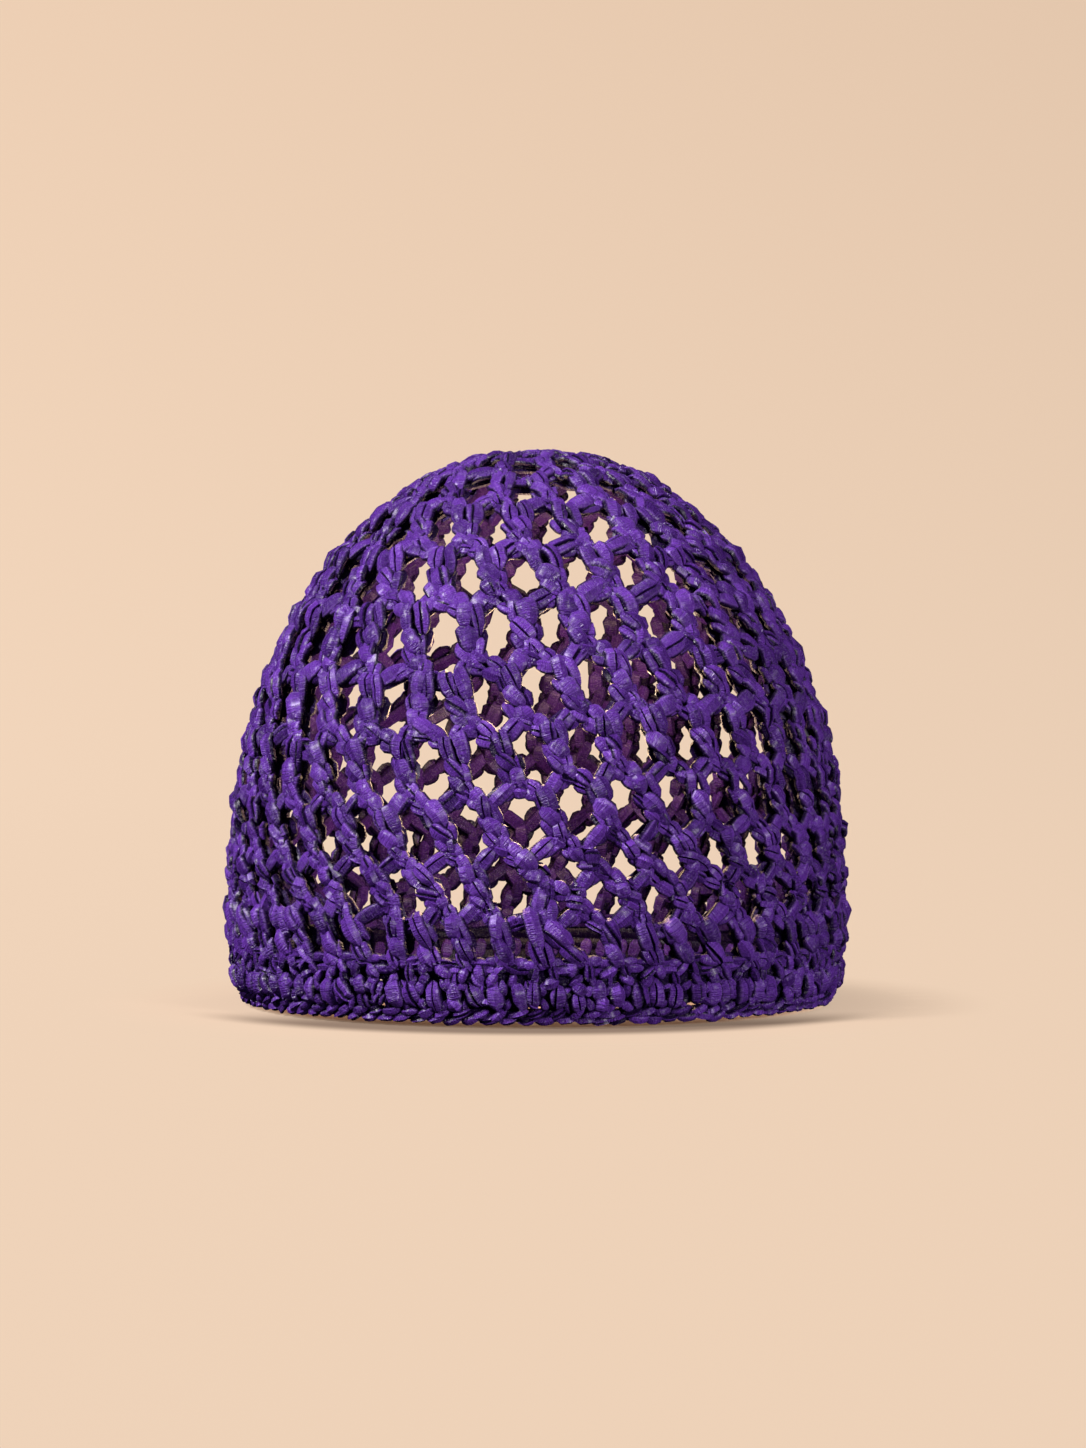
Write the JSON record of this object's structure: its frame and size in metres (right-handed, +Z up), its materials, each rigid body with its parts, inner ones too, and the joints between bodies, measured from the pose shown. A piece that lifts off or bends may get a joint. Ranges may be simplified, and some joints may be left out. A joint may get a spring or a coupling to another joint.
{
  "type": "crocheted openwork cap",
  "caption": "Dome-shaped crocheted cap of flat ribbon with an open honeycomb of holes, a dense rim band and a chain edge.",
  "frame": {"origin": "centre of the cap's round rim, on the surface that it rests on", "axes": "+Z up through the top of the dome, -Y to the front as seen in the picture, +X to the right in that view"},
  "size_m": [0.1842, 0.1842, 0.1657],
  "materials": {
    "ribbon_openwork": "matte purple woven ribbon, creased and folded in crochet stitches",
    "ribbon_band": "the same ribbon in short dense stitches",
    "ribbon_edge": "the same ribbon in a flattened chain along the rim"
  },
  "bodies": {
    "root": {"start_ring": "ribbon_openwork", "open_round_01": "ribbon_openwork", "open_round_02": "ribbon_openwork", "open_round_03": "ribbon_openwork", "open_round_04": "ribbon_openwork", "open_round_05": "ribbon_openwork", "open_round_06": "ribbon_openwork", "open_round_07": "ribbon_openwork", "open_round_08": "ribbon_openwork", "open_round_09": "ribbon_openwork", "open_round_10": "ribbon_openwork", "short_round": "ribbon_openwork", "close_round_11": "ribbon_openwork", "rim_band": "ribbon_band", "rim_edge": "ribbon_edge"}
  },
  "joints": []
}
